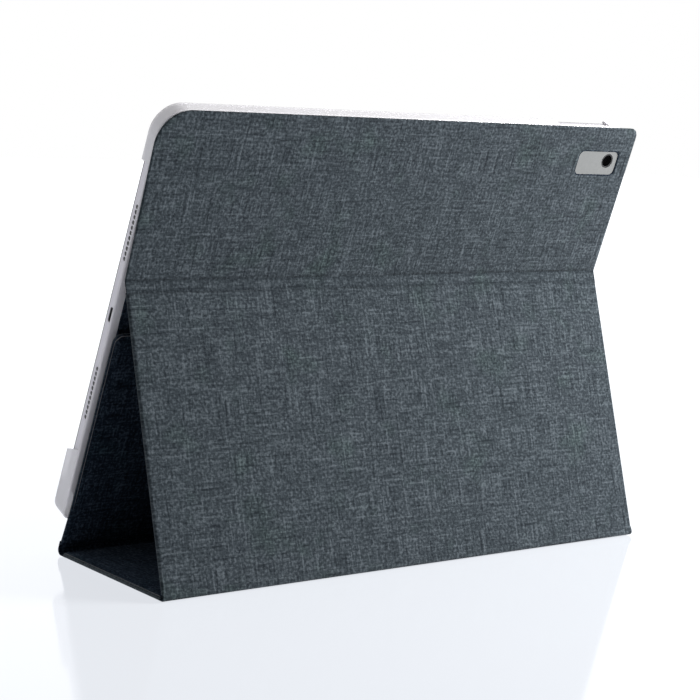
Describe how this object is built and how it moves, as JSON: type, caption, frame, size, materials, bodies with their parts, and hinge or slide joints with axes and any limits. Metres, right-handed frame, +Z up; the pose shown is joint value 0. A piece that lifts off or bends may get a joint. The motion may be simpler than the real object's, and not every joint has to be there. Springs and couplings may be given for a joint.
{
  "type": "tablet folio stand case",
  "caption": "Woven-cloth folio case with a clear hard tray holding a large tablet, folded into a triangular easel stand",
  "frame": {"origin": "centre of the base panel's underside, on the surface the case stands on", "axes": "+X along the case towards the tablet's port edge, +Y from the front fold to the rear foot, +Z up; the screen faces -Y and up"},
  "size_m": [0.3118, 0.1134, 0.2344],
  "materials": {
    "board": "matte stiffener board",
    "cloth": "heather linen weave",
    "lining": "same weave, inner face",
    "magnet": "nickel plated",
    "steel": "thin plate",
    "clear_plastic": "clear polycarbonate",
    "foam_tape": "foam tape",
    "aluminium": "bead blasted, anodised",
    "front_glass": "polished",
    "display": "switched off",
    "black_metal": "satin",
    "lens_glass": "coated",
    "black_plastic": "moulded",
    "port_metal": "satin",
    "grey_plastic": "fine satin",
    "battery_foil": "foil wrap",
    "circuit_board": "solder mask"
  },
  "bodies": {
    "base": {"base_board": "board", "base_cloth": "cloth", "base_lining": "lining", "foot_strip": "cloth", "front_strip": "cloth"},
    "leg": {"leg_board": "board", "leg_cloth": "cloth", "leg_lining": "lining", "crease_strip": "cloth"},
    "strut": {"strut_board": "board", "strut_cloth": "cloth", "strut_lining": "lining", "strut_magnets": "magnet", "keyboard_dock_plate": "steel"},
    "tray": {"tray_shell": "clear_plastic", "tray_patch": "lining", "camera_insert": "grey_plastic", "lens_sleeve": "black_plastic", "tray_adhesive_pad": "foam_tape", "tray_keeper_strip": "steel", "upper_board": "board", "upper_cloth": "cloth"},
    "tablet": {"tablet_housing": "aluminium", "front_glass": "front_glass", "display_panel": "display", "camera_ring": "black_metal", "camera_glass": "lens_glass", "camera_barrel": "black_plastic", "port_liner": "port_metal", "port_tongue": "black_plastic", "speaker_meshes": "black_metal", "speaker_boxes": "black_plastic", "battery_cells": "battery_foil", "main_board": "circuit_board"},
    "volume_up": {"volume_up_button": "aluminium"},
    "volume_down": {"volume_down_button": "aluminium"},
    "power": {"power_button": "aluminium"}
  },
  "joints": [
    {"name": "foot_fold", "type": "hinge", "parent": "base", "child": "leg", "pos_m": [0, 0.05305, 0], "axis": [-1, 0, 0], "range_deg": [0, 93], "deforming": ["foot_strip"]},
    {"name": "crease_fold", "type": "hinge", "parent": "leg", "child": "tray", "pos_m": [0, 0.00907, 0.14832], "axis": [1, 0, 0], "range_deg": [0, 31], "deforming": ["crease_strip"]},
    {"name": "front_fold", "type": "hinge", "parent": "base", "child": "strut", "pos_m": [0, -0.05046, 0.0036], "axis": [-1, 0, 0], "range_deg": [0, 63], "deforming": ["front_strip"]},
    {"name": "tablet_lift_out", "type": "slide", "parent": "tray", "child": "tablet", "axis": [0, -0.9224, 0.3863], "range_m": [0, 0.03]},
    {"name": "volume_up_press", "type": "slide", "parent": "tablet", "child": "volume_up", "axis": [0, -0.3863, -0.9224], "range_m": [0, 0.0003], "stiffness_N_per_m": 1500, "springref_m": -0.0004},
    {"name": "volume_down_press", "type": "slide", "parent": "tablet", "child": "volume_down", "axis": [0, -0.3863, -0.9224], "range_m": [0, 0.0003], "stiffness_N_per_m": 1500, "springref_m": -0.0004},
    {"name": "power_press", "type": "slide", "parent": "tablet", "child": "power", "axis": [1, 0, 0], "range_m": [0, 0.0003], "stiffness_N_per_m": 1500, "springref_m": -0.0004}
  ],
  "couplings": [
    {"joint": "crease_fold", "follows": "foot_fold", "ratio": 0.3293},
    {"joint": "front_fold", "follows": "foot_fold", "ratio": 0.6707}
  ]
}
